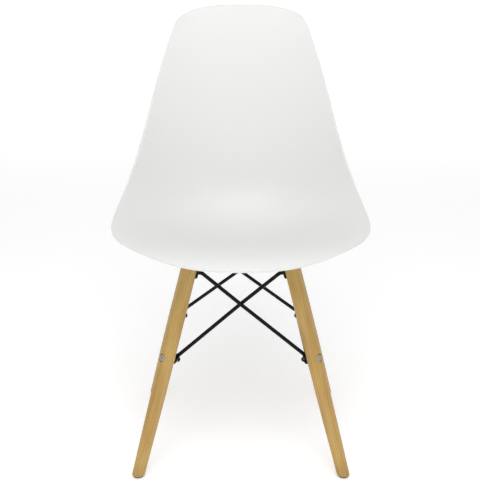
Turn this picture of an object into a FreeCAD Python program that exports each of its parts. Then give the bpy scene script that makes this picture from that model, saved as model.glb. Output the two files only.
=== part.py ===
"""Dining chair: a one-piece moulded plastic seat shell on four splayed beech dowel legs, braced by
crossing steel rods on all four sides.

Units are millimetres. +Z is up, the sitter faces -Y, and the origin is on the floor at the centre of
the chair's bounding box. Everything is first built about the axis of the leg base, then the whole
chair is moved to that origin. Each separate physical piece is written to its own STEP file.
"""
import FreeCAD
import Part
import math
import os

from FreeCAD import Vector

# ---------------------------------------------------------------- driving dimensions
# Legs, as centre-line positions measured from the base's vertical axis.
foot_half_width = 187.0      # X of a foot's centre on the floor
foot_half_depth = 175.0      # Y of a foot's centre on the floor
top_half_width = 87.0        # X of a leg's centre-line at leg_top_height
top_half_depth = 90.0        # Y of a leg's centre-line at leg_top_height
leg_top_height = 388.0       # top end of the legs above the floor
leg_top_radius = 13.5
leg_belly_radius = 13.8
leg_foot_radius = 10.9
leg_belly_share = 0.42       # where the belly lies, as a share of the leg's length from its top
leg_edge_round = 1.6
leg_top_gap = 1.0            # between a leg's top end and the seat tab

# Floor glides: a plastic pad on a nail.
glide_radius = 9.0
glide_height = 3.0
glide_edge_round = 0.8
nail_radius = 1.2
nail_length = 16.0
nail_head_radius = 4.0
nail_head_height = 1.2

# Seat shell.
seat_half_width = 231.0      # of the moulded face at its widest
shell_half_depth = 250.0
shell_rise = 430.0           # from the bosses' lower faces to the top of the back
shell_thickness = 5.0
rim_stations = 240           # rows and steps of the shell's rounded edge
rim_steps = 8
boss_radius = 12.0
boss_foot_radius = 17.0
boss_foot_height = 3.0
boss_sink = 2.0              # how far a boss or rib runs into the shell's wall
rib_thickness = 2.4
rib_reach = 27.0             # from a boss's axis to the end of its ribs
rib_drop = 4.0               # from a boss's lower face up to where its ribs start
insert_radius = 4.6
insert_length = 10.0
insert_groove_depth = 0.5
insert_groove_width = 1.6
insert_end_gap = 0.4         # of the boss's hole beyond the insert

# Corner brackets and braces.
plate_thickness = 3.0
bracket_width = 25.0
bracket_bend_radius = 3.0
bracket_corner_round = 5.0
flange_length = 40.0         # of the flange that lies on the leg, below the seat tab
seat_tab_length = 31.0       # from the flange's face to the tab's end
seat_hole_setback = 19.0     # from the flange's face to the seat screw
mount_pad_radius = 12.0
mount_pad_height = 4.0
rod_radius = 3.5
tab_thickness = 3.0
tab_half_width = 6.2
tab_tail = 9.2               # from the bolt to the end of the flattened tab
tab_flat_length = 7.6        # from the bolt to where the rod starts to round out
inner_tab_extra = 3.2        # longer flat of the tab that lies against the leg
rod_swell_length = 5.0       # from the flat to the full round rod
rod_end_drop = 22.5          # from the leg's top end to the braces' welded upper ends
rod_end_run = 9.0            # level run of a brace before it meets the bracket
rod_end_gap = 1.1            # from the bracket's middle plane to the side of a brace
rod_bend_radius = 11.0
rod_root_lift = 1.4          # inward offset of the round rod's start, which keeps it off the leg
rod_cross_radius = 260.0
rod_cross_gap = 0.8          # daylight between two braces where they cross

# Bolts.
lower_bolt_height = 211.0
upper_bolt_drop = 11.5       # from the leg's top end to the bracket's bolt
bolt_radius = 3.0
thread_gap = 0.05
clearance = 0.25             # radial, of every bolt in a plain hole
bolt_head_radius = 6.2
bolt_head_height = 2.4
bolt_head_round = 0.9
bolt_head_sink = 1.3         # of the head's face below the leg's surface
counterbore_gap = 0.6
socket_across_flats = 4.0
socket_depth = 1.7
lower_flat_depth = 0.8       # flats milled on the legs' inner sides
lower_flat_length = 34.0
upper_flat_depth = 4.0
upper_flat_margin = 2.0      # of flat left below the bracket's flange
washer_radius = 6.0
washer_height = 1.2
nut_across_flats = 10.0
nut_hex_height = 5.0
nut_dome_radius = 4.4
nut_thread_depth = 7.0
seat_screw_head_radius = 5.4
seat_screw_head_height = 3.2
seat_screw_grip = 8.5        # how far the seat screw runs into its insert
seat_washer_radius = 8.0

X_AXIS = Vector(1, 0, 0)
Y_AXIS = Vector(0, 1, 0)
Z_AXIS = Vector(0, 0, 1)

# Seat shell control net, one row from the front lip to the top of the back, as shares of the shell's
# sizes: centre Y, centre Z, side edge Y, side edge Z, half width. Z counts from the bosses' lower faces.
shell_rows = [
    (-1.020, 0.000, -0.848, 0.014, 0.983),
    (-0.996, 0.047, -0.820, 0.063, 0.987),
    (-0.912, 0.093, -0.736, 0.098, 0.991),
    (-0.712, 0.095, -0.600, 0.109, 0.996),
    (-0.440, 0.067, -0.400, 0.119, 1.000),
    (-0.160, 0.044, -0.200, 0.130, 0.996),
    (0.160, 0.026, 0.000, 0.158, 0.978),
    (0.468, 0.014, 0.200, 0.202, 0.944),
    (0.660, 0.084, 0.352, 0.288, 0.887),
    (0.712, 0.253, 0.480, 0.400, 0.827),
    (0.776, 0.428, 0.584, 0.526, 0.771),
    (0.832, 0.602, 0.688, 0.660, 0.710),
    (0.896, 0.765, 0.796, 0.795, 0.636),
    (0.960, 0.898, 0.892, 0.909, 0.563),
    (1.008, 0.965, 0.956, 0.970, 0.537),
    (1.036, 1.000, 0.988, 1.002, 0.528),
]
shell_columns = [-1, -8 / 9, -2 / 3, -1 / 3, 0, 1 / 3, 2 / 3, 8 / 9, 1]
shell_side_power = 2.3       # how late the seat and back curl up towards the side edges
shell_overhang = 1.06        # the surface runs this much past the trimmed side edges
outline_points = 24          # per quarter of the trimming outline
front_start, front_end, front_power = 0.362, 0.026, 2.92
top_start, top_end, top_power = 0.905, 0.991, 2.8


# ---------------------------------------------------------------- small helpers
def basis(origin, z_dir, x_dir):
    """Placement whose local Z is z_dir and whose local X is x_dir made square to it."""
    z = Vector(z_dir).normalize()
    x = Vector(x_dir) - z * Vector(x_dir).dot(z)
    x.normalize()
    y = z.cross(x)
    matrix = FreeCAD.Matrix(
        x.x, y.x, z.x, origin.x,
        x.y, y.y, z.y, origin.y,
        x.z, y.z, z.z, origin.z,
        0, 0, 0, 1,
    )
    return FreeCAD.Placement(matrix)


def cylinder(radius, start, direction, length):
    return Part.makeCylinder(radius, length, start, direction)


def ring(outer, inner, start, direction, length):
    return cylinder(outer, start, direction, length).cut(cylinder(inner, start, direction, length))


def hexagon(across_flats, start, direction, length, x_dir):
    """A hexagonal bar from start along direction."""
    corner = across_flats / 2 / math.cos(math.pi / 6)
    points = [Vector(corner * math.cos(k * math.pi / 3), corner * math.sin(k * math.pi / 3), 0)
              for k in range(7)]
    bar = Part.Face(Part.makePolygon(points)).extrude(Vector(0, 0, length))
    bar.Placement = basis(start, direction, x_dir)
    return bar


def rounded_path(points, radii):
    """A wire of straight runs through points, with a tangent arc at each inner point."""
    edges = []
    last = points[0]
    for before, here, after, radius in zip(points, points[1:], points[2:], radii):
        back = (before - here).normalize()
        on = (after - here).normalize()
        half_turn = (math.pi - back.getAngle(on)) / 2
        reach = radius * math.tan(half_turn)
        start = here + back * reach
        end = here + on * reach
        middle_dir = (back + on).normalize()
        middle = here + middle_dir * (radius / math.cos(half_turn) - radius)
        edges.append(Part.LineSegment(last, start).toShape())
        edges.append(Part.Arc(start, middle, end).toShape())
        last = end
    edges.append(Part.LineSegment(last, points[-1]).toShape())
    return Part.Wire(edges)


# ---------------------------------------------------------------- where a leg stands
class Corner:
    """Centre-line, splay plane and bolt places of the leg at one corner. sx, sy are its signs."""

    def __init__(self, sx, sy):
        self.foot = Vector(sx * foot_half_width, sy * foot_half_depth, 0)
        self.top = Vector(sx * top_half_width, sy * top_half_depth, leg_top_height)
        self.down = (self.foot - self.top).normalize()
        outward = self.foot - self.top
        outward.z = 0
        self.out_level = Vector(outward).normalize()
        # square to the leg, in its splay plane, pointing away from the middle of the chair
        self.out = (self.out_level - self.down * self.out_level.dot(self.down)).normalize()
        self.side = self.down.cross(self.out)

    def at_height(self, height):
        """The leg's centre-line point at a height above the floor."""
        return self.top + self.down * ((leg_top_height - height) / -self.down.z)


def leg_radius(corner, point):
    """Radius of the turned leg at a point of its centre-line."""
    share = (point - corner.top).dot(corner.down) / (corner.foot - corner.top).Length
    if share < leg_belly_share:
        away = 1 - share / leg_belly_share
        return leg_belly_radius - (leg_belly_radius - leg_top_radius) * away ** 2
    away = (share - leg_belly_share) / (1 - leg_belly_share)
    return leg_belly_radius - (leg_belly_radius - leg_foot_radius) * away ** 2


CORNERS = {
    "front_right": Corner(1, -1),
    "front_left": Corner(-1, -1),
    "back_right": Corner(1, 1),
    "back_left": Corner(-1, 1),
}
SEAT_TAB_TOP = leg_top_height + leg_top_gap + plate_thickness
BOSS_FACE = SEAT_TAB_TOP + mount_pad_height
UPPER_BOLT_HEIGHT = leg_top_height - upper_bolt_drop
ROD_END_HEIGHT = leg_top_height - rod_end_drop


def leg_length(corner):
    return (corner.foot - corner.top).Length


def flat_distance(corner, height, depth):
    """From the leg's centre-line to the flat milled on its inner side at that height."""
    return leg_radius(corner, corner.at_height(height)) - depth


def lower_flat_point(corner):
    """Where the lower bolt's axis leaves the leg's inner flat."""
    reach = flat_distance(corner, lower_bolt_height, lower_flat_depth)
    return corner.at_height(lower_bolt_height) - corner.out * reach


def upper_flat_point(corner, height):
    """On the flat under a corner bracket's flange, level with a height of the centre-line."""
    reach = flat_distance(corner, UPPER_BOLT_HEIGHT, upper_flat_depth)
    return corner.at_height(height) - corner.out * reach


def bracket_fold(corner):
    """Where the inner face of a bracket's flange meets the underside of its seat tab."""
    face = upper_flat_point(corner, UPPER_BOLT_HEIGHT) - corner.out * plate_thickness
    return face + corner.down * ((SEAT_TAB_TOP - plate_thickness - face.z) / corner.down.z)


def flange_end_height(corner):
    """Height of a bracket flange's lower end above the floor."""
    return bracket_fold(corner).z + corner.down.z * flange_length


def seat_screw_axis(corner):
    """Where the seat screw's axis passes the underside of the seat tab."""
    return bracket_fold(corner) - corner.out_level * seat_hole_setback


# ---------------------------------------------------------------- leg and glide
def turned_blank(corner):
    """The leg's cigar-shaped turning, running a little past both of its ends."""
    stations = 7
    overrun = 14.0
    points = []
    for k in range(stations):
        along = -overrun + (leg_length(corner) + 2 * overrun) * k / (stations - 1)
        inside = min(max(along, 0), leg_length(corner))
        radius = leg_radius(corner, corner.top + corner.down * inside)
        points.append(Vector(radius, 0, along))
    curve = Part.BSplineCurve()
    curve.interpolate(points)
    bottom, top = Vector(0, 0, points[-1].z), Vector(0, 0, points[0].z)
    outline = Part.Wire([
        curve.toShape(),
        Part.LineSegment(points[-1], bottom).toShape(),
        Part.LineSegment(bottom, top).toShape(),
        Part.LineSegment(top, points[0]).toShape(),
    ])
    blank = Part.Face(outline).revolve(Vector(0, 0, 0), Z_AXIS, 360)
    blank.Placement = basis(corner.top, corner.down, corner.out)
    return blank


def inner_flat_cutter(corner, point, start, length):
    """A block whose face lies on the leg's inner flat, from start along the leg's length."""
    reach = 40.0
    block = Part.makeBox(reach, reach, length, Vector(-reach, -reach / 2, start))
    block.Placement = basis(point, corner.down, corner.out)
    return block


def bolt_hole(corner, height):
    """Plain hole right through the leg, with the counterbore for the bolt's head."""
    middle = corner.at_height(height)
    crown = leg_radius(corner, middle)
    hole = cylinder(bolt_radius + clearance, middle - corner.out * 2 * crown, corner.out, 4 * crown)
    floor = crown - bolt_head_sink - bolt_head_height
    bore = cylinder(bolt_head_radius + counterbore_gap, middle + corner.out * floor, corner.out, 2 * crown)
    return hole.fuse(bore)


def leg(corner):
    blank = turned_blank(corner)
    reach = foot_half_width + 60.0
    slab = Part.makeBox(2 * reach, 2 * reach, leg_top_height - glide_height,
                        Vector(-reach, -reach, glide_height))
    body = blank.common(slab)
    ends = [e for e in body.Edges if e.BoundBox.ZLength < 0.01]
    body = body.makeFillet(leg_edge_round, ends)
    upper = upper_flat_point(corner, UPPER_BOLT_HEIGHT)
    below = (UPPER_BOLT_HEIGHT - flange_end_height(corner)) / -corner.down.z + upper_flat_margin
    body = body.cut(inner_flat_cutter(corner, upper, -60.0, 60.0 + below))
    lower = lower_flat_point(corner)
    body = body.cut(inner_flat_cutter(corner, lower, -lower_flat_length / 2, lower_flat_length))
    for level in (lower_bolt_height, UPPER_BOLT_HEIGHT):
        body = body.cut(bolt_hole(corner, level))
    return body.cut(cylinder(nail_radius, foot_centre(corner), Z_AXIS, nail_length - nail_head_height))


def foot_centre(corner):
    """Middle of the leg's sawn foot, where the glide sits."""
    return corner.at_height(glide_height)


def glide_pad(corner):
    centre = foot_centre(corner)
    base = Vector(centre.x, centre.y, 0)
    pad = cylinder(glide_radius, base, Z_AXIS, glide_height)
    rim = [e for e in pad.Edges if e.BoundBox.ZMax < 0.01 and e.BoundBox.ZLength < 0.01]
    pad = pad.makeFillet(glide_edge_round, rim)
    pocket = cylinder(nail_head_radius, centre, -Z_AXIS, nail_head_height)
    return pad.cut(pocket)


def glide_nail(corner):
    """The nail is moulded into the pad by its head and driven up into the leg."""
    centre = foot_centre(corner)
    head = cylinder(nail_head_radius, centre, -Z_AXIS, nail_head_height)
    point_length = 3.0
    straight = nail_length - nail_head_height - point_length
    shank = cylinder(nail_radius, centre, Z_AXIS, straight)
    tip = Part.makeCone(nail_radius, 0.2, point_length, centre + Z_AXIS * straight, Z_AXIS)
    return head.fuse([shank, tip]).removeSplitter()


# ---------------------------------------------------------------- bolts, nuts and washers
def socket_bolt(corner, height, end_reach):
    """Flat-headed hexagon-socket bolt through the leg. end_reach is from centre-line to its end."""
    middle = corner.at_height(height)
    crown = leg_radius(corner, middle)
    face = middle + corner.out * (crown - bolt_head_sink)
    head = cylinder(bolt_head_radius, face - corner.out * bolt_head_height, corner.out, bolt_head_height)
    rim = [e for e in head.Edges if (e.CenterOfMass - face).Length < bolt_head_height / 2]
    head = head.makeFillet(bolt_head_round, rim)
    start = middle - corner.out * end_reach
    shank_length = end_reach + crown - bolt_head_sink - bolt_head_height
    shank = cylinder(bolt_radius - thread_gap, start, corner.out, shank_length + 0.5)
    socket = hexagon(socket_across_flats, face - corner.out * socket_depth, corner.out,
                     socket_depth + 1, corner.down)
    return head.fuse(shank).removeSplitter().cut(socket)


def cap_nut(seat_point, inward, x_dir):
    """Domed nut standing on seat_point and pointing inward."""
    chamfer_drop = 0.8
    corner_radius = nut_across_flats / 2 / math.cos(math.pi / 6)
    bar = hexagon(nut_across_flats, seat_point, inward, nut_hex_height, x_dir)
    cone_height = nut_hex_height + chamfer_drop * 3
    turned = Part.makeCone(corner_radius + chamfer_drop * 4, corner_radius - chamfer_drop * 2,
                           cone_height, seat_point, inward)
    body = bar.common(turned)
    centre = seat_point + inward * nut_hex_height
    dome = Part.makeSphere(nut_dome_radius, centre)
    bore = cylinder(bolt_radius, seat_point, inward, nut_thread_depth)
    return body.fuse(dome).removeSplitter().cut(bore)


def washer(radius, start, direction, thickness):
    return ring(radius, bolt_radius + clearance, start, direction, thickness)


LOWER_STACK = 2 * tab_thickness
UPPER_STACK = plate_thickness


def bolt_end_reach(stack, distance):
    """From the leg's centre-line to a bolt's end inside its cap nut."""
    return distance + stack + washer_height + nut_thread_depth - 1.0


def lower_hardware(corner):
    """Bolt, washer and cap nut that hold two braces to a leg."""
    distance = flat_distance(corner, lower_bolt_height, lower_flat_depth)
    bolt = socket_bolt(corner, lower_bolt_height, bolt_end_reach(LOWER_STACK, distance))
    inward = -corner.out
    seat = lower_flat_point(corner) + inward * LOWER_STACK
    plate = washer(washer_radius, seat, inward, washer_height)
    nut = cap_nut(seat + inward * washer_height, inward, corner.down)
    return bolt, plate, nut


def upper_hardware(corner):
    """Bolt, washer and cap nut that hold a corner bracket to a leg."""
    distance = flat_distance(corner, UPPER_BOLT_HEIGHT, upper_flat_depth)
    bolt = socket_bolt(corner, UPPER_BOLT_HEIGHT, bolt_end_reach(UPPER_STACK, distance))
    inward = -corner.out
    seat = upper_flat_point(corner, UPPER_BOLT_HEIGHT) + inward * UPPER_STACK
    plate = washer(washer_radius, seat, inward, washer_height)
    nut = cap_nut(seat + inward * washer_height, inward, corner.down)
    return bolt, plate, nut


# ---------------------------------------------------------------- corner bracket
def corner_bracket(corner):
    """One folded steel strip: a flange bolted to the leg and a level tab under the seat."""
    fold = bracket_fold(corner)
    tab_end = fold - corner.out_level * seat_tab_length
    flange_end = fold + corner.down * flange_length
    thick = corner.out * plate_thickness
    lift = Z_AXIS * plate_thickness
    rise = plate_thickness - thick.z
    outer = fold + thick + corner.down * (rise / corner.down.z)
    points = [tab_end, fold, flange_end, flange_end + thick, outer, tab_end + lift, tab_end]
    profile = Part.Face(Part.makePolygon(points))
    across = corner.side * bracket_width
    strip = profile.extrude(across)
    strip.translate(across * -0.5)
    for bend, radius in ((fold, bracket_bend_radius), (outer, bracket_bend_radius + plate_thickness)):
        line = [e for e in strip.Edges if (e.CenterOfMass - bend).Length < 0.5]
        strip = strip.makeFillet(radius, line)
    for end in (tab_end + lift / 2, flange_end + thick / 2):
        sides = [e for e in strip.Edges
                 if abs(e.Length - plate_thickness) < 0.01
                 and abs((e.CenterOfMass - end).Length - bracket_width / 2) < 0.01]
        strip = strip.makeFillet(bracket_corner_round, sides)
    drill = 4 * plate_thickness
    screw = seat_screw_axis(corner) - Z_AXIS * drill / 2
    strip = strip.cut(cylinder(bolt_radius + 2 * clearance, screw, Z_AXIS, drill))
    bolt = upper_flat_point(corner, UPPER_BOLT_HEIGHT)
    return strip.cut(cylinder(bolt_radius + clearance, bolt - corner.out * drill, corner.out, 2 * drill))


# ---------------------------------------------------------------- braces
def brace_upper_end(corner, axis_dir):
    """Where a brace's axis meets the bracket's flange. axis_dir is its level direction of arrival."""
    face = upper_flat_point(corner, ROD_END_HEIGHT) - corner.out * plate_thickness
    # braces meet the flange on their own side of its middle
    sideways = corner.side if corner.side.dot(axis_dir) < 0 else -corner.side
    return face + sideways * (rod_radius + rod_end_gap) * math.sqrt(2)


def crossing_point(lower, upper, axis_dir):
    """Middle of the two crossing braces of one side, level with both ends' average."""
    low = lower_flat_point(lower) - lower.out * (tab_thickness + rod_radius)
    high = brace_upper_end(upper, axis_dir) - axis_dir * rod_end_run
    share = -low.dot(axis_dir) / (high - low).dot(axis_dir)
    return low + (high - low) * share


def brace(lower, upper, axis_dir, layer):
    """A brace from the lower bolt of one leg to the bracket of the next.

    axis_dir is the level direction along that side of the base, from lower to upper. layer counts
    the flattened tabs from the leg, 0 or 1; the brace of layer 0 passes outside its partner."""
    inward = -lower.out
    bolt_point = lower_flat_point(lower) + inward * tab_thickness * (layer + 0.5)
    flat_end = tab_flat_length + (inner_tab_extra if layer == 0 else 0)
    end = brace_upper_end(upper, axis_dir)
    bend = end - axis_dir * rod_end_run

    # the tab points along the brace as seen square to the bolt, and the rod leaves it already bent
    line = bend - bolt_point
    along = (line - inward * line.dot(inward)).normalize()
    flat_tip = bolt_point + along * flat_end
    towards = (bend - flat_tip).normalize()
    root = flat_tip + towards * rod_swell_length + inward * rod_root_lift

    # at the middle plane it stands off its partner by half a rod
    span = bend - root
    share = -root.dot(axis_dir) / span.dot(axis_dir)
    partner = span - axis_dir * 2 * span.dot(axis_dir)
    normal = span.cross(partner).normalize()
    if normal.dot(lower.out_level) < 0:
        normal = -normal
    outward = 1 if layer == 0 else -1
    midway = crossing_point(lower, upper, axis_dir)
    middle = root + span * share
    stand_off = midway + normal * outward * (rod_radius + rod_cross_gap / 2)
    crossing = Vector(stand_off.x, stand_off.y, middle.z)

    path = rounded_path([root, crossing, bend, end + axis_dir * 2 * rod_radius],
                        [rod_cross_radius, rod_bend_radius])
    towards = (crossing - root).normalize()
    circle = Part.Wire([Part.Circle(root, towards, rod_radius).toShape()])
    rod = path.makePipeShell([circle], True, False)

    # welded end, cut to the flange's face
    face = upper_flat_point(upper, ROD_END_HEIGHT) - upper.out * plate_thickness
    block_size = 60.0
    block = Part.makeBox(block_size, block_size, block_size, Vector(0, -block_size / 2, -block_size / 2))
    block.Placement = basis(face, upper.down, upper.out)
    rod = rod.cut(block)

    # flattened tab: a round-ended plate swelling into the rod
    across = along.cross(inward)
    tail = tab_tail - tab_half_width
    eye = Part.makeCylinder(tab_half_width, tab_thickness, Vector(-tail, 0, 0))
    flat = Part.makeBox(flat_end + tail, 2 * tab_half_width, tab_thickness,
                        Vector(-tail, -tab_half_width, 0))
    tab = eye.fuse(flat).removeSplitter()
    tab.Placement = basis(bolt_point - inward * tab_thickness / 2, inward, along)
    start = bolt_point + along * (flat_end - 1.5)
    ellipse = Part.Ellipse(start + across * (tab_half_width - 0.1), start + inward * tab_thickness / 2, start)
    swell = Part.makeLoft([Part.Wire([ellipse.toShape()]),
                           Part.Wire([Part.Circle(root, towards, rod_radius).toShape()])], True)
    whole = rod.fuse([tab, swell])
    reach = 2 * tab_thickness
    return whole.cut(cylinder(bolt_radius + clearance, bolt_point - inward * reach, inward, 2 * reach))


# ---------------------------------------------------------------- seat shell
def clamped_knots(poles, degree):
    """Even clamped knots and their multiplicities for a number of poles."""
    spans = poles - degree
    knots = [k / spans for k in range(spans + 1)]
    mults = [degree + 1] + [1] * (spans - 1) + [degree + 1]
    return knots, mults


def shell_surface():
    """Upper face of the seat and back, from the control rows. U runs across, V from lip to top."""
    degree = 3
    net = []
    for share in shell_columns:
        t = share * shell_overhang
        column = []
        for centre_y, centre_z, edge_y, edge_z, half_width in shell_rows:
            curl = abs(t) ** shell_side_power
            column.append(Vector(seat_half_width * t * half_width,
                                 shell_half_depth * (centre_y + (edge_y - centre_y) * curl),
                                 BOSS_FACE + shell_rise * (centre_z + (edge_z - centre_z) * curl)))
        net.append(column)
    u_knots, u_mults = clamped_knots(len(shell_columns), degree)
    v_knots, v_mults = clamped_knots(len(shell_rows), degree)
    surface = Part.BSplineSurface()
    surface.buildFromPolesMultsKnots(net, u_mults, v_mults, u_knots, v_knots, False, False,
                                     degree, degree)
    return surface


def shell_outline():
    """Closed trimming curve in the surface's own (U, V) square: superelliptic front and top."""
    points = []

    def add(t, v):
        points.append(FreeCAD.Base.Vector2d(0.5 + 0.5 * t / shell_overhang, v))

    def quarter(k, power):
        angle = math.pi / 2 * k / outline_points
        return math.cos(angle) ** (2 / power), math.sin(angle) ** (2 / power)

    def front(t, rise):
        add(t, front_start - (front_start - front_end) * rise)

    def top(t, rise):
        add(t, top_start + (top_end - top_start) * rise)

    side_steps = 8
    gap = (top_start - front_start) / side_steps
    for k in range(outline_points):
        wide, rise = quarter(k, front_power)
        front(wide, rise)
    for k in range(outline_points, 0, -1):
        wide, rise = quarter(k, front_power)
        front(-wide, rise)
    for k in range(side_steps):
        add(-1, front_start + gap * k)
    for k in range(outline_points):
        wide, rise = quarter(k, top_power)
        top(-wide, rise)
    for k in range(outline_points, 0, -1):
        wide, rise = quarter(k, top_power)
        top(wide, rise)
    for k in range(side_steps):
        add(1, top_start - gap * k)
    curve = Part.Geom2d.BSplineCurve2d()
    curve.interpolate(points, True)
    return curve


def rim_rows(surface, outline):
    """Rows of points round the shell's edge, each a half circle from upper face to underside."""
    radius = shell_thickness / 2
    first, last = outline.FirstParameter, outline.LastParameter
    step = (last - first) / rim_stations
    rows = []
    for k in range(rim_stations + 1):
        here = first + step * (k % rim_stations)
        place = outline.value(here)
        point = surface.value(place.x, place.y)
        before = outline.value(here - step * 0.02 if k % rim_stations else last - step * 0.02)
        after = outline.value(here + step * 0.02)
        tangent = (surface.value(after.x, after.y) - surface.value(before.x, before.y)).normalize()
        up = surface.normal(place.x, place.y)
        outward = up.cross(tangent)
        middle = point - up * radius
        row = []
        for j in range(rim_steps + 1):
            angle = math.pi * j / rim_steps
            row.append(middle + (up * math.cos(angle) + outward * math.sin(angle)) * radius)
        rows.append(row)
    return rows


def trimmed_face(surface, edge):
    face = Part.Face(surface, Part.Wire([edge]))
    face.validate()
    return face


def shell_blank():
    """The moulded wall alone: upper face, underside and the fully rounded edge between them."""
    surface = shell_surface()
    underside = Part.OffsetSurface(surface, -shell_thickness)
    rim = Part.BSplineSurface()
    rim.interpolate(rim_rows(surface, shell_outline()))
    rim_face = rim.toShape()
    above, below = [e for e in rim_face.Edges if e.isClosed()]
    probe = above.firstVertex().Point
    if surface.value(*surface.parameter(probe)).distanceToPoint(probe) > shell_thickness / 2:
        above, below = below, above
    upper_face = trimmed_face(surface, above)
    shell = Part.makeShell([upper_face, trimmed_face(underside, below), rim_face])
    shell.sewShape(0.05)
    blank = Part.Solid(shell)
    if blank.Volume < 0:
        blank.reverse()
    return blank, upper_face


def shell_height(face, point):
    """Where a plumb line through point meets the shell's upper face, and how steep it is there."""
    line = Part.makeLine(Vector(point.x, point.y, leg_top_height), Vector(point.x, point.y, 600))
    hit = face.distToShape(line)[1][0][0]
    u, v = face.Surface.parameter(hit)
    return hit.z, abs(face.Surface.normal(u, v).z)


def underside_height(face, point):
    top, steepness = shell_height(face, point)
    return top - shell_thickness / steepness


def boss_rib(face, axis, direction):
    """A thin gusset from a boss out to the shell's wall. Its upper edge follows the wall."""
    inner = boss_radius - 1.0
    steps = 4
    edge = []
    for k in range(steps + 1):
        out = rib_reach + (inner - rib_reach) * k / steps
        spot = axis + direction * out
        edge.append(Vector(spot.x, spot.y, underside_height(face, spot) + boss_sink))
    toe = edge[0] - Z_AXIS * (boss_sink + rib_thickness / 2)
    root = axis + direction * inner
    root.z = BOSS_FACE + rib_drop
    across = direction.cross(Z_AXIS) * rib_thickness
    plate = Part.Face(Part.makePolygon([root, toe] + edge + [root])).extrude(across)
    plate.translate(across * -0.5)
    return plate


def shell_boss(face, corner):
    """A round boss with a flared foot and four ribs, from the rubber pad up into the shell's wall."""
    axis = seat_screw_axis(corner)
    under = underside_height(face, axis)
    start = Vector(axis.x, axis.y, BOSS_FACE)
    post = cylinder(boss_radius, start, Z_AXIS, under - BOSS_FACE + boss_sink)
    flare = Vector(axis.x, axis.y, under - boss_foot_height)
    foot = Part.makeCone(boss_radius, boss_foot_radius, boss_foot_height + boss_sink, flare, Z_AXIS)
    ribs = [boss_rib(face, axis, turn) for turn in (X_AXIS, -X_AXIS, Y_AXIS, -Y_AXIS)]
    return post.fuse([foot] + ribs).removeSplitter()


def seat_shell():
    blank, face = shell_blank()
    bosses = [shell_boss(face, corner) for corner in CORNERS.values()]
    body = blank.fuse(bosses)
    for corner in CORNERS.values():
        axis = seat_screw_axis(corner)
        start = Vector(axis.x, axis.y, BOSS_FACE)
        body = body.cut(cylinder(insert_radius, start, Z_AXIS, insert_length + insert_end_gap))
    return body


# ---------------------------------------------------------------- seat fixings
def thread_insert(corner):
    """Brass insert set in a boss, flush with its face, with two grooves round it."""
    axis = seat_screw_axis(corner)
    start = Vector(axis.x, axis.y, BOSS_FACE)
    body = ring(insert_radius, bolt_radius, start, Z_AXIS, insert_length)
    for share in (1 / 3, 2 / 3):
        level = start + Z_AXIS * (insert_length * share - insert_groove_width / 2)
        groove = ring(insert_radius + 1, insert_radius - insert_groove_depth, level, Z_AXIS,
                      insert_groove_width)
        body = body.cut(groove)
    return body


def mount_pad(corner):
    """Rubber pad between a bracket's seat tab and a boss."""
    axis = seat_screw_axis(corner)
    start = Vector(axis.x, axis.y, SEAT_TAB_TOP)
    return ring(mount_pad_radius, bolt_radius + clearance, start, Z_AXIS, mount_pad_height)


def seat_washer(corner):
    return washer(seat_washer_radius, seat_screw_axis(corner), -Z_AXIS, washer_height)


def seat_screw(corner):
    """Pan-headed hexagon-socket screw, driven up through the bracket into the insert."""
    under_head = seat_screw_axis(corner) - Z_AXIS * washer_height
    head = cylinder(seat_screw_head_radius, under_head, -Z_AXIS, seat_screw_head_height)
    crown = [e for e in head.Edges if e.BoundBox.ZMax < under_head.z - 0.1]
    head = head.makeFillet(1.0, crown)
    length = BOSS_FACE + seat_screw_grip - under_head.z
    shank = cylinder(bolt_radius - thread_gap, under_head - Z_AXIS * 0.5, Z_AXIS, length + 0.5)
    bottom = under_head - Z_AXIS * seat_screw_head_height
    socket = hexagon(socket_across_flats, bottom - Z_AXIS, Z_AXIS, socket_depth + 1, X_AXIS)
    return head.fuse(shank).removeSplitter().cut(socket)


# ---------------------------------------------------------------- the whole chair
def build():
    """Every node's shape, about the base's own axis."""
    nodes = {"seat_shell": seat_shell()}
    washers = {"lower_bolt_washers": [], "upper_bolt_washers": [], "seat_screw_washers": []}
    nails = []
    for name, corner in CORNERS.items():
        nodes["leg_" + name] = leg(corner)
        nodes["glide_" + name] = glide_pad(corner)
        nails.append(glide_nail(corner))
        for place, hardware in (("lower", lower_hardware(corner)), ("upper", upper_hardware(corner))):
            bolt, plate, nut = hardware
            nodes[place + "_bolt_" + name] = bolt
            washers[place + "_bolt_washers"].append(plate)
            nodes[place + "_cap_nut_" + name] = nut
        nodes["corner_bracket_" + name] = corner_bracket(corner)
        nodes["mount_pad_" + name] = mount_pad(corner)
        nodes["thread_insert_" + name] = thread_insert(corner)
        nodes["seat_screw_" + name] = seat_screw(corner)
        washers["seat_screw_washers"].append(seat_washer(corner))
    nodes["glide_nails"] = Part.makeCompound(nails)
    for name, plates in washers.items():
        nodes[name] = Part.makeCompound(plates)
    # on each side, seen from outside, the brace that starts low on the right passes in front
    sides = {
        "front": ("front_right", "front_left", -X_AXIS),
        "right": ("back_right", "front_right", -Y_AXIS),
        "back": ("back_left", "back_right", X_AXIS),
        "left": ("front_left", "back_left", Y_AXIS),
    }
    for side, (near, far, direction) in sides.items():
        nodes["brace_" + side + "_outer"] = brace(CORNERS[near], CORNERS[far], direction, 0)
        nodes["brace_" + side + "_inner"] = brace(CORNERS[far], CORNERS[near], -direction, 1)
    return nodes


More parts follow.
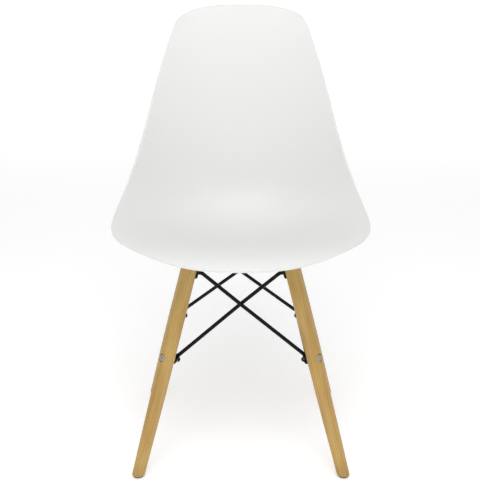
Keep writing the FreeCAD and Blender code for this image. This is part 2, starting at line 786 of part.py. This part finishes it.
def main():
    os.makedirs("parts", exist_ok=True)
    nodes = build()
    box = FreeCAD.BoundBox()
    for shape in nodes.values():
        box.add(shape.optimalBoundingBox(True, False))
    middle = [round((box.XMin + box.XMax) / 2, 1), round((box.YMin + box.YMax) / 2, 1)]
    shift = Vector(-middle[0], -middle[1], 0)
    for name, shape in nodes.items():
        shape.translate(shift)
        shape.exportStep("parts/" + name + ".step")
    print("moved by", shift)
    print("size", box.XLength, box.YLength, box.ZLength)
    for name, shape in sorted(nodes.items()):
        if not shape.isValid():
            print("not valid:", name)


main()
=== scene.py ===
# %% [markdown]
# # A dining chair with a moulded seat shell
# The chair's geometry, sizes and places come from a packed engineering model, which is loaded first and
# never moved. This lesson gives every piece the surface it has on the real chair, adds the small details
# that a maker leaves behind, and then lights and frames the chair.

# %% Load the fixed model
import math

import bmesh
import bpy
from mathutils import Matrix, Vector


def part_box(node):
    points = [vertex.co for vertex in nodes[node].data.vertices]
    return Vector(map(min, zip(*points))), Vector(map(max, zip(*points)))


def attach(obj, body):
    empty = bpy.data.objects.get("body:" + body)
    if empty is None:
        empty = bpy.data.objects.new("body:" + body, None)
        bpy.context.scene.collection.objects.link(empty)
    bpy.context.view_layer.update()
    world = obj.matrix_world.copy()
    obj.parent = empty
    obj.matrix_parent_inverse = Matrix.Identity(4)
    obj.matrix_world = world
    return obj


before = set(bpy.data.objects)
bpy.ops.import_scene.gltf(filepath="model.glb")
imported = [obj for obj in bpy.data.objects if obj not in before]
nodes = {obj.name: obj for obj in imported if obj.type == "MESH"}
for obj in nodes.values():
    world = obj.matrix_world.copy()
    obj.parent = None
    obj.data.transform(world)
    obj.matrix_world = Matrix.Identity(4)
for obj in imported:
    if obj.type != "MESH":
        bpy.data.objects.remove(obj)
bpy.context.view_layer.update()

CORNERS = ("front_left", "front_right", "back_left", "back_right")
print("CAD nodes:", len(nodes))

# %% [markdown]
# ## Writing shader maths as Python
# A finish could be wired by hand in the node editor. A pattern such as wood grain takes dozens of Math
# nodes, though, and they are hard to read as boxes. A small class that wraps one socket lets the same
# pattern be written as an expression, such as `1 - mask * 0.5`, and each operator adds one Math node.
# `flip` swaps the operands, which is what `1 - mask` needs.

# %% A socket that can be used in an expression
class Value:
    """One output socket of a node tree, with arithmetic."""

    def __init__(self, tree, socket):
        self.tree = tree
        self.socket = socket

    def math(self, operation, *others, flip=False):
        node = self.tree.nodes.new("ShaderNodeMath")
        node.operation = operation
        operands = (self,) + others
        for place, value in enumerate(reversed(operands) if flip else operands):
            plug(self.tree, node.inputs[place], value)
        return Value(self.tree, node.outputs[0])

    def __add__(self, other):
        return self.math("ADD", other)

    def __sub__(self, other):
        return self.math("SUBTRACT", other)

    def __rsub__(self, other):
        return self.math("SUBTRACT", other, flip=True)

    def __mul__(self, other):
        return self.math("MULTIPLY", other)

    def __abs__(self):
        return self.math("ABSOLUTE")

    __radd__ = __add__
    __rmul__ = __mul__


def plug(tree, target, value):
    """Links a Value, or writes a plain number, colour or vector, into an input socket."""
    if isinstance(value, Value):
        tree.links.new(value.socket, target)
    else:
        target.default_value = value


methods = [name for name, made in vars(Value).items() if callable(made) and name != "__init__"]
print("a Value can do:", ", ".join(methods))

# %% [markdown]
# ## One class for a finish
# Every finish on the chair is a Principled BSDF with a few things that vary over its surface. The class
# makes the material, sets the constants straight on the shader's own sockets, and has one method, `node`,
# that adds any other node from its type, its settings and its inputs.
#
# Object coordinates are used throughout. The CAD pieces all have their origin on the floor under the
# chair, so those coordinates are simply metres in the chair's own frame, and a 1 mm grain stays 1 mm.
#
# A Mix node has one set of sockets for each kind of data, so its colour sockets are reached by number.

# %% The finish class
MIX_FIRST_COLOR, MIX_SECOND_COLOR, MIX_COLOR_RESULT = 6, 7, 2
ONE_MM = 0.001


class Finish:
    """A Principled material whose patterns are built from nodes."""

    def __init__(self, name, color, **constants):
        self.material = bpy.data.materials.new(name)
        self.material.use_nodes = True
        self.tree = self.material.node_tree
        self.shader = self.tree.nodes["Principled BSDF"]
        self.shader.inputs["Base Color"].default_value = (*color, 1.0)
        for socket, value in constants.items():
            self.shader.inputs[socket.replace("_", " ")].default_value = value
        self.place = self.node("ShaderNodeTexCoord", output="Object")
        self.normal = self.node("ShaderNodeNewGeometry", output="Normal")

    def node(self, kind, settings=(), inputs=(), output=0):
        """Adds a node: its settings first, then the values or links of its inputs."""
        made = self.tree.nodes.new(kind)
        for name, value in dict(settings).items():
            setattr(made, name, value)
        for name, value in dict(inputs).items():
            plug(self.tree, made.inputs[name], value)
        return Value(self.tree, made.outputs[output])

    def vector_math(self, operation, first, second=None, output=0):
        inputs = {0: first} if second is None else {0: first, 1: second}
        return self.node("ShaderNodeVectorMath", {"operation": operation}, inputs, output)

    def dot(self, vector, direction):
        return self.vector_math("DOT_PRODUCT", vector, tuple(direction), "Value")

    def distance(self, point):
        """Metres from a fixed point of the chair."""
        return self.vector_math("DISTANCE", self.place, tuple(point), "Value")

    def noise(self, per_metre, detail=2.0, roughness=0.5, place=None, offset=0.0):
        """Smooth noise from 0 to 1. per_metre is its number of features in a metre."""
        spot = self.vector_math("ADD", place or self.place, (offset, offset * 0.7, offset * 1.3))
        return self.node("ShaderNodeTexNoise", {"noise_dimensions": "3D"},
                         {"Vector": spot, "Scale": per_metre, "Detail": detail, "Roughness": roughness},
                         "Fac")

    def step(self, value, low, high):
        """0 below low and 1 above high, with a soft rise between. Swap them for a fall."""
        return self.node("ShaderNodeMapRange", {"interpolation_type": "SMOOTHSTEP"},
                         {"Value": value, "From Min": low, "From Max": high})

    def mix(self, factor, first, second):
        """Blends two colours by a factor from 0 to 1."""
        first, second = [color if isinstance(color, Value) else (*color, 1.0) for color in (first, second)]
        return self.node("ShaderNodeMix", {"data_type": "RGBA"},
                         {"Factor": factor, MIX_FIRST_COLOR: first, MIX_SECOND_COLOR: second},
                         MIX_COLOR_RESULT)

    def shade(self, color, amount):
        """Darkens a colour by a varying amount, 0 for none."""
        return self.mix(amount, color, (0.0, 0.0, 0.0))

    def bump(self, height_mm):
        """A surface relief given in millimetres."""
        return self.node("ShaderNodeBump", {}, {"Height": height_mm, "Distance": ONE_MM, "Strength": 1.0})

    def wear(self, **sockets):
        """Feeds varying values into the shader: Base_Color, Roughness, Normal and so on."""
        for socket, value in sockets.items():
            plug(self.tree, self.shader.inputs[socket.replace("_", " ")], value)
        return self.material


def dress(material, *names):
    """Gives CAD nodes a finish through their own material slots."""
    for name in names:
        for slot in nodes[name].material_slots:
            slot.material = material
    print(material.name, "on", len(names), "nodes:", ", ".join(names[:4]))


# %% [markdown]
# ## White moulded polypropylene
# The seat is one piece of injection-moulded plastic, off-white and satin. A real shell isn't even: the
# mould is spark-etched so that it has a very fine grain, the melt leaves broad soft waves in the gloss,
# and the wall sinks a hair over each screw boss, because the thick plastic there cools last. Underneath,
# a small nub in a shallow ring is left where the melt was let in. Sitting polishes the middle of the
# seat, and the rounded edge picks up fine grey scuffs.

# %% The shell's finish
MIDDLE_REACH = 0.02          # how far from the chair's axis the gate is looked for
BOSS_TO_SEAT = 0.016         # from the top of a brass insert up to the seat's face
SINK_EDGE, SINK_FLOOR = 0.020, 0.004                  # radii of a sink mark
SAT_ON_SHARE, SAT_ON_LIFT = 0.52, 0.02                # place of the polished patch on the seat
SAT_ON_EDGE, SAT_ON_MIDDLE = 0.24, 0.06               # and its radii
NUB_EDGE, NUB_TOP = 0.0032, 0.0024                    # radii of the gate's nub
RING_OUTER, RING_INNER, RING_SLOPE = 0.0100, 0.0092, 0.0004   # and of the ring round it


def seat_underside():
    """The point of the shell's lower face nearest to the floor in the middle of the seat."""
    points = [vertex.co for vertex in nodes["seat_shell"].data.vertices]
    middle = [p for p in points if math.hypot(p.x, p.y) < MIDDLE_REACH]
    return min(middle, key=lambda p: p.z)


def moulded_plastic(name):
    finish = Finish(name, (0.80, 0.80, 0.785), Specular_IOR_Level=0.45, IOR=1.49)
    grain = finish.noise(1500.0, detail=2.0)
    ripple = finish.noise(22.0, detail=2.0, offset=3.0)
    flow = finish.noise(7.0, detail=1.0, offset=9.0)
    sink = 0.0
    for corner in CORNERS:
        low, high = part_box("thread_insert_" + corner)
        over = Vector(((low.x + high.x) / 2, (low.y + high.y) / 2, high.z + BOSS_TO_SEAT))
        sink = finish.step(finish.distance(over), SINK_EDGE, SINK_FLOOR) + sink
    low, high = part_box("seat_shell")
    seat_middle = Vector((0.0, low.y + SAT_ON_SHARE * (high.y - low.y), low.z + SAT_ON_LIFT))
    sat_on = finish.step(finish.distance(seat_middle), SAT_ON_EDGE, SAT_ON_MIDDLE)
    gate = finish.distance(seat_underside())
    nub = finish.step(gate, NUB_EDGE, NUB_TOP)
    gate_ring = (finish.step(gate, RING_OUTER, RING_OUTER - RING_SLOPE)
                 - finish.step(gate, RING_INNER, RING_INNER - RING_SLOPE))
    scuff_field = finish.noise(60.0, detail=6.0, roughness=0.75, offset=5.0)
    scuffs = finish.step(scuff_field, 0.62, 0.78)
    dust = finish.noise(4.0, detail=3.0, offset=1.0)
    tint = finish.mix(dust, (0.815, 0.815, 0.80), (0.785, 0.785, 0.768))
    tint = finish.mix(scuffs * 0.10, tint, (0.55, 0.55, 0.54))
    gloss = 0.40 + ripple * 0.10 + flow * 0.06 - sat_on * 0.08 + scuffs * 0.10
    relief = grain * 0.012 + ripple * 0.05 - sink * 0.06 + nub * 0.25 + gate_ring * 0.10
    return finish.wear(Base_Color=tint, Roughness=gloss, Normal=finish.bump(relief))


dress(moulded_plastic("white_polypropylene"), "seat_shell")

# %% [markdown]
# ## Turned beech
# The legs are straight-grained beech, turned round and clear-lacquered. Three things make beech look
# like beech: faint growth layers, which show as long lines where the turning cuts across them, short dark
# ray flecks a millimetre or two long, and a slow drift between straw and pink along the stick. End grain
# is darker and the feet are a little soiled. The bores that the bolt heads sit in get painted shade, a
# dark ring that stands in for the shadow in each recess.
#
# The grain has to follow each leg, and the legs splay in four directions. The leg's own axis is measured
# from the middle of its top and of its foot, and dot products with three directions turn chair
# coordinates into distances along and across that leg.

# %% A leg's own directions
END_DEPTH = 0.0006           # how close to a leg's end a mesh point counts as on it
BORE_EDGE, BORE_WALL = 0.0076, 0.0067   # radii between which the wood darkens into a bore
SOILED_LENGTH = 0.035


def leg_axis(name):
    """Middle of a leg's top, its direction down to the foot, and its length, from the CAD mesh."""
    points = [vertex.co for vertex in nodes[name].data.vertices]
    low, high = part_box(name)
    ends = []
    for level in (high.z, low.z):
        near = [p for p in points if abs(p.z - level) < END_DEPTH]
        box_low = Vector((min(p.x for p in near), min(p.y for p in near), level))
        box_high = Vector((max(p.x for p in near), max(p.y for p in near), level))
        ends.append((box_low + box_high) / 2)
    top, foot = ends
    return top, (foot - top).normalized(), (foot - top).length


def leg_outward(down):
    """The direction square to a leg, in its splay plane, that its bolts point in."""
    level = Vector((down.x, down.y, 0.0)).normalized()
    return (level - down * level.dot(down)).normalized()


def counterbore_shade_mask(finish, corner, down):
    """1 inside the bores that the bolt heads sit in, where painted shade darkens the wood in place of the
    recess's shadow.
    """
    outward = leg_outward(down)
    inside = 0.0
    for row in ("lower_bolt_", "upper_bolt_"):
        low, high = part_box(row + corner)
        middle = (low + high) / 2
        spoke = finish.vector_math("SUBTRACT", finish.place, tuple(middle))
        off_axis = finish.vector_math("CROSS_PRODUCT", spoke, tuple(outward))
        radius = finish.vector_math("LENGTH", off_axis, output="Value")
        inside = finish.step(radius, BORE_EDGE, BORE_WALL) + inside
    return inside


def beech(name, corner, seed):
    top, down, length = leg_axis("leg_" + corner)
    across = down.cross(Vector((math.cos(seed * 2.1), math.sin(seed * 2.1), 0.3))).normalized()
    beside = down.cross(across)
    finish = Finish(name, (0.50, 0.32, 0.09), Specular_IOR_Level=0.3, Coat_Roughness=0.25)
    local = finish.vector_math("SUBTRACT", finish.place, tuple(top))
    along = finish.dot(local, down)
    layer = finish.dot(local, across)
    ray = finish.dot(local, beside)

    def stretched(along_scale, across_scale, ray_scale):
        return finish.node("ShaderNodeCombineXYZ", {}, {
            "X": layer * across_scale, "Y": ray * ray_scale, "Z": along * along_scale})

    wander = finish.noise(1.0, detail=2.0, place=stretched(5.0, 40.0, 40.0), offset=seed)
    rings = (layer * 420.0 + wander * 3.2 + seed).math("PINGPONG", 1.0)
    late_wood = finish.step(rings, 0.55, 1.0)
    fibres = finish.noise(1.0, detail=3.0, roughness=0.6, place=stretched(40.0, 1500.0, 1500.0),
                          offset=seed + 2.0)
    flecks = finish.step(finish.noise(1.0, detail=1.0, place=stretched(330.0, 1900.0, 1200.0),
                                      offset=seed + 4.0), 0.63, 0.72)
    drift = finish.noise(1.0, detail=2.0, place=stretched(9.0, 28.0, 28.0), offset=seed + 6.0)
    drift = finish.step(drift, 0.30, 0.70)
    streaks = finish.noise(1.0, detail=2.0, place=stretched(7.0, 190.0, 190.0), offset=seed + 8.0)
    streaks = finish.step(streaks, 0.45, 0.75)
    end_grain = finish.step(abs(finish.dot(finish.normal, down)), 0.55, 0.9)
    foot_soil = finish.step(along, length - SOILED_LENGTH, length)

    tint = finish.mix(drift, (0.545, 0.362, 0.112), (0.445, 0.262, 0.074))
    tint = finish.mix(streaks * 0.35, tint, (0.640, 0.440, 0.190))
    tint = finish.mix(late_wood * 0.34, tint, (0.335, 0.187, 0.045))
    tint = finish.mix(fibres * 0.24, tint, (0.590, 0.400, 0.140))
    tint = finish.mix(flecks * 0.42, tint, (0.215, 0.110, 0.036))
    tint = finish.mix(end_grain * 0.55, tint, (0.250, 0.145, 0.055))
    tint = finish.shade(tint, foot_soil * 0.14)
    # painted shade: the bores that the bolt heads sit in are darkened, standing in for their shadow
    bore_shade = counterbore_shade_mask(finish, corner, down)
    tint = finish.mix(bore_shade * 0.75, tint, (0.075, 0.045, 0.020))
    gloss = 0.44 + fibres * 0.12 + (end_grain + bore_shade) * 0.2 + foot_soil * 0.08
    relief = fibres * 0.025 - flecks * 0.02 - late_wood * 0.008
    return finish.wear(Base_Color=tint, Roughness=gloss, Coat_Weight=0.08 - end_grain * 0.08,
                       Normal=finish.bump(relief))


for seed, corner in enumerate(CORNERS):
    top, down, length = leg_axis("leg_" + corner)
    tilt = math.degrees(math.acos(-down.z))
    print("leg", corner, "length", round(length, 4), "m, splay", round(tilt, 1), "degrees")
    dress(beech("beech_" + corner, corner, seed + 1.0), "leg_" + corner)

# %% [markdown]
# ## Powder-coated steel
# The braces and the corner brackets are dipped in black powder and baked. The powder melts to a skin
# with a fine orange peel, a little duller where it is thin. A flat black would lose the shape of a 7 mm
# rod altogether, so the gloss varies and a soft highlight runs along it.

# %% The powder coat
def powder_coat(name, color, sheen):
    finish = Finish(name, color, Specular_IOR_Level=0.16)
    peel = finish.noise(900.0, detail=2.0)
    patches = finish.noise(45.0, detail=3.0, offset=2.0)
    rubbed = finish.step(finish.noise(160.0, detail=5.0, roughness=0.7, offset=7.0), 0.66, 0.80)
    tint = finish.mix(patches, color, tuple(c * 1.9 for c in color))
    tint = finish.mix(rubbed * 0.30, tint, (0.045, 0.045, 0.047))
    gloss = sheen + patches * 0.12 + rubbed * 0.15
    return finish.wear(Base_Color=tint, Roughness=gloss, Normal=finish.bump(peel * 0.022 + patches * 0.02))


braces = [name for name in nodes if name.startswith("brace_")]
dress(powder_coat("black_powder_coat", (0.0032, 0.0032, 0.0036), sheen=0.24), *braces)
bracket_coat = powder_coat("black_bracket_coat", (0.006, 0.006, 0.0065), sheen=0.30)
dress(bracket_coat, *["corner_bracket_" + corner for corner in CORNERS])

# %% [markdown]
# ## Weld beads
# Each brace is welded to its bracket by one small bead all round. The bead isn't a piece of its own, so
# the engineering model leaves it out. A torus would be the quick way to make it, but the rod meets the
# flange at a slant and the joint is an oval. The bead is swept along the real edge instead: the rod's end
# face is found in the CAD mesh, its rim is put in order round its middle, and a small circle is carried
# along it. The circle swells and shrinks as it goes, which gives the stacked ripples of a weld.

# %% Find a rod's rim
END_REACH = 0.02             # mesh points this near the rod's highest one belong to its end
FACE_DEPTH = 0.00005         # and those this near the furthest one lie on its end face


def brace_end(name):
    """Middle and rim of the brace's upper end face, and the direction it points in."""
    points = [vertex.co for vertex in nodes[name].data.vertices]
    crown = max(points, key=lambda p: p.z)
    tops = {corner: leg_axis("leg_" + corner) for corner in CORNERS}
    nearest = min(CORNERS, key=lambda corner: (tops[corner][0] - crown).length)
    outward = leg_outward(tops[nearest][1])
    near = [p for p in points if (p - crown).length < END_REACH]
    reach = max(p.dot(outward) for p in near)
    face = [p for p in near if p.dot(outward) > reach - FACE_DEPTH]
    middle = sum(face, Vector()) / len(face)
    across = outward.cross(Vector((0.0, 0.0, 1.0))).normalized()
    up = across.cross(outward)
    rim = {}
    for p in face:
        angle = math.atan2((p - middle).dot(up), (p - middle).dot(across))
        rim[round(angle, 3)] = p
    return middle, [rim[angle] for angle in sorted(rim)], outward


middle, rim, outward = brace_end("brace_front_outer")
print("rim points:", len(rim), "mean radius in mm:",
      round(sum((p - middle).length for p in rim) / len(rim) * 1000, 2))

# %% Sweep the beads
BEAD_RADIUS = 0.0011
BEAD_SWELL = 0.17            # share of the radius that the ripples add and take away
BEAD_SINK = 0.0003           # how far the bead's middle lies back along the rod
BEAD_STEPS = 96
BEAD_SIDES = 10
BEAD_RIPPLES = 16


def along_loop(loop, share):
    """The point a share of the way round a closed loop, counted by its corners."""
    spot = share * len(loop)
    k = int(spot) % len(loop)
    return loop[k].lerp(loop[(k + 1) % len(loop)], spot - int(spot))


def add_bead(beads, middle, rim, outward):
    """Adds one rippled ring along the rim to the mesh."""
    rings = []
    for k in range(BEAD_STEPS):
        edge = along_loop(rim, k / BEAD_STEPS)
        spoke = (edge - middle).normalized()
        swell = 1.0 + BEAD_SWELL * math.sin(2 * math.pi * BEAD_RIPPLES * k / BEAD_STEPS)
        centre = edge - outward * BEAD_SINK
        ring = []
        for side in range(BEAD_SIDES):
            angle = 2 * math.pi * side / BEAD_SIDES
            ring.append(beads.verts.new(
                centre + (spoke * math.cos(angle) - outward * math.sin(angle)) * BEAD_RADIUS * swell))
        rings.append(ring)
    for k, ring in enumerate(rings):
        following = rings[(k + 1) % BEAD_STEPS]
        for side in range(BEAD_SIDES):
            after = (side + 1) % BEAD_SIDES
            beads.faces.new((ring[side], ring[after], following[after], following[side])).smooth = True


beads = bmesh.new()
for name in braces:
    add_bead(beads, *brace_end(name))
bmesh.ops.recalc_face_normals(beads, faces=beads.faces)
mesh = bpy.data.meshes.new("brace_weld_beads")
beads.to_mesh(mesh)
beads.free()
weld_beads = bpy.data.objects.new("brace_weld_beads", mesh)
bpy.context.scene.collection.objects.link(weld_beads)
mesh.materials.append(bracket_coat)
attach(weld_beads, "root")
print("weld beads:", len(braces), "with", len(mesh.polygons), "faces")

# %% [markdown]
# ## Plated fasteners
# The bolts, screws, washers and glide nails are zinc-plated: bright, with a warm cast and the faint
# mottling of the plating bath. The cap nuts are the same steel with a smooth black coat.

# %% Zinc and black plating
def plating(name, color, dull, metallic, roughness):
    finish = Finish(name, color, Metallic=metallic, Specular_IOR_Level=0.2)
    mottle = finish.noise(700.0, detail=3.0)
    bath = finish.noise(180.0, detail=2.0, offset=4.0)
    scratches = finish.noise(2600.0, detail=1.0, offset=6.0)
    tint = finish.mix(mottle, color, dull)
    gloss = roughness + bath * 0.14 + scratches * 0.06
    relief = scratches * 0.006 + mottle * 0.008
    return finish.wear(Base_Color=tint, Roughness=gloss, Normal=finish.bump(relief))


zinc = plating("zinc_plate", (0.64, 0.62, 0.55), (0.42, 0.41, 0.35), metallic=1.0, roughness=0.24)
black_plate = plating("black_plate", (0.004, 0.004, 0.0045), (0.012, 0.012, 0.013),
                      metallic=0.0, roughness=0.26)
dress(zinc, *[name for name in nodes if "bolt" in name or "screw" in name], "glide_nails")
dress(black_plate, *[name for name in nodes if "cap_nut" in name])

# %% [markdown]
# ## Glides, rubber pads and brass inserts
# Small parts still need the right surface, because they are what shows from underneath. The glides are
# dark plastic scuffed by the floor, the pads are dull black rubber and the inserts are turned brass.

# %% The small parts' finishes
WORN_HEIGHT = 0.0012         # the floor scuffs a glide up to here
TOOL_MARKS = 4000.0          # turning marks on the brass, in radians a metre


def scuffed_plastic(name):
    finish = Finish(name, (0.10, 0.085, 0.07), IOR=1.5)
    grain = finish.noise(1400.0, detail=2.0)
    height = finish.dot(finish.place, (0.0, 0.0, 1.0))
    worn = finish.step(height, WORN_HEIGHT, 0.0) * finish.noise(500.0, detail=4.0, offset=3.0)
    tint = finish.mix(worn * 0.7, (0.10, 0.085, 0.07), (0.26, 0.24, 0.21))
    return finish.wear(Base_Color=tint, Roughness=0.5 + grain * 0.2 + worn * 0.2,
                       Normal=finish.bump(grain * 0.02))


def rubber(name):
    finish = Finish(name, (0.02, 0.02, 0.02), IOR=1.5)
    grain = finish.noise(1100.0, detail=3.0)
    bloom = finish.noise(120.0, detail=2.0, offset=2.0)
    tint = finish.mix(bloom, (0.018, 0.018, 0.018), (0.045, 0.044, 0.042))
    return finish.wear(Base_Color=tint, Roughness=0.72 + grain * 0.2, Normal=finish.bump(grain * 0.03))


def turned_brass(name):
    finish = Finish(name, (0.72, 0.52, 0.22), Metallic=1.0)
    tarnish = finish.noise(300.0, detail=3.0)
    height = finish.dot(finish.place, (0.0, 0.0, 1.0))
    tool_marks = (height * TOOL_MARKS).math("SINE")
    tint = finish.mix(tarnish, (0.76, 0.56, 0.25), (0.50, 0.35, 0.15))
    return finish.wear(Base_Color=tint, Roughness=0.24 + tarnish * 0.2,
                       Normal=finish.bump(tool_marks * 0.008))


dress(scuffed_plastic("glide_plastic"), *["glide_" + corner for corner in CORNERS])
dress(rubber("pad_rubber"), *["mount_pad_" + corner for corner in CORNERS])
dress(turned_brass("insert_brass"), *["thread_insert_" + corner for corner in CORNERS])

# %% [markdown]
# ## A white studio
# The floor is a wide pale sweep that curves up behind the chair, so no horizon shows. The paper glows a
# little, and more towards the back, which keeps it white where the lamps don't reach.

# %% The studio sweep
SWEEP_STEPS = 24
GLOW_NEAR, GLOW_FAR = 0.6, 6.0          # metres behind the chair between which the paper brightens


def studio_sweep(half_width, front, back, bend, height):
    """A floor that turns up into a wall through a quarter circle."""
    outline = [(front, 0.0), (back, 0.0)]
    for k in range(1, SWEEP_STEPS + 1):
        angle = math.pi / 2 * k / SWEEP_STEPS
        outline.append((back + bend * math.sin(angle), bend - bend * math.cos(angle)))
    outline.append((back + bend, height))
    points = [(side * half_width, y, z) for side in (-1, 1) for y, z in outline]
    count = len(outline)
    faces = [(k, count + k, count + k + 1, k + 1) for k in range(count - 1)]
    mesh = bpy.data.meshes.new("studio_sweep")
    mesh.from_pydata(points, [], faces)
    for face in mesh.polygons:
        face.use_smooth = True
    sweep = bpy.data.objects.new("studio_sweep", mesh)
    bpy.context.scene.collection.objects.link(sweep)
    return sweep


paper = Finish("studio_paper", (0.94, 0.94, 0.94), Specular_IOR_Level=0.0, Emission_Strength=1.0)
tone = paper.noise(3.0, detail=2.0)
behind = paper.step(paper.dot(paper.place, (0.0, 1.0, 0.0)), GLOW_NEAR, GLOW_FAR)
glow = paper.mix(behind, (0.27, 0.27, 0.27), (0.55, 0.55, 0.55))
paper_white = paper.mix(tone, (0.945, 0.945, 0.945), (0.935, 0.935, 0.935))
sweep = studio_sweep(half_width=14.0, front=-9.0, back=9.0, bend=3.0, height=9.0)
sweep.data.materials.append(paper.wear(Base_Color=paper_white, Roughness=0.9 + tone * 0.05,
                                       Emission_Color=glow))
print("sweep spans", round(sweep.dimensions.x, 1), "by", round(sweep.dimensions.y, 1), "metres")

# %% [markdown]
# ## Soft light
# Four large area lights, like softboxes, and an even white world. The larger a light is, the softer the
# shadow; the world fills what is left, so the underside of the seat never goes black.

# %% Softboxes and world
def softbox(name, place, aim, size, power):
    light = bpy.data.lights.new(name, "AREA")
    light.shape = "RECTANGLE"
    light.size, light.size_y = size
    light.energy = power
    lamp = bpy.data.objects.new(name, light)
    lamp.location = place
    lamp.rotation_euler = (Vector(aim) - Vector(place)).to_track_quat("-Z", "Y").to_euler()
    bpy.context.scene.collection.objects.link(lamp)
    return lamp


softbox("overhead_softbox", (0.0, -0.75, 3.1), (0.0, 0.0, 0.4), size=(2.4, 2.4), power=17.0)
softbox("front_softbox", (0.0, -2.3, 2.75), (0.0, 0.0, 0.45), size=(2.0, 2.0), power=38.0)
softbox("left_softbox", (-2.6, -2.2, 1.9), (0.0, 0.0, 0.45), size=(1.8, 1.8), power=3.0)
softbox("right_softbox", (2.8, -1.8, 1.7), (0.0, 0.0, 0.45), size=(1.8, 1.8), power=3.0)
world = bpy.data.worlds.new("studio_world")
world.use_nodes = True
world.node_tree.nodes["Background"].inputs["Color"].default_value = (1.0, 1.0, 1.0, 1.0)
world.node_tree.nodes["Background"].inputs["Strength"].default_value = 0.475
bpy.context.scene.world = world
bpy.context.scene.view_settings.view_transform = "Standard"

# %% [markdown]
# ## The camera
# The chair is seen from straight in front, from about 1.6 metres away and from just above the top of its
# back, looking down by 15.7 degrees.

# %% Place the camera
LOOKING_DOWN = 15.694        # degrees below level

camera_data = bpy.data.cameras.new("front_camera")
camera_data.sensor_width = 36.0
camera_data.lens = 67.28
camera_data.shift_x = -0.0017
camera_data.shift_y = 0.0019
camera = bpy.data.objects.new("front_camera", camera_data)
camera.location = (0.0, -1.6362, 0.8527)
camera.rotation_euler = (math.radians(90.0 - LOOKING_DOWN), 0.0, 0.0)
bpy.context.scene.collection.objects.link(camera)
bpy.context.scene.camera = camera
print("camera at", tuple(round(v, 3) for v in camera.location), "lens", camera_data.lens)

# %% [markdown]
# ## The size
# The visual model has to keep the CAD model's size.
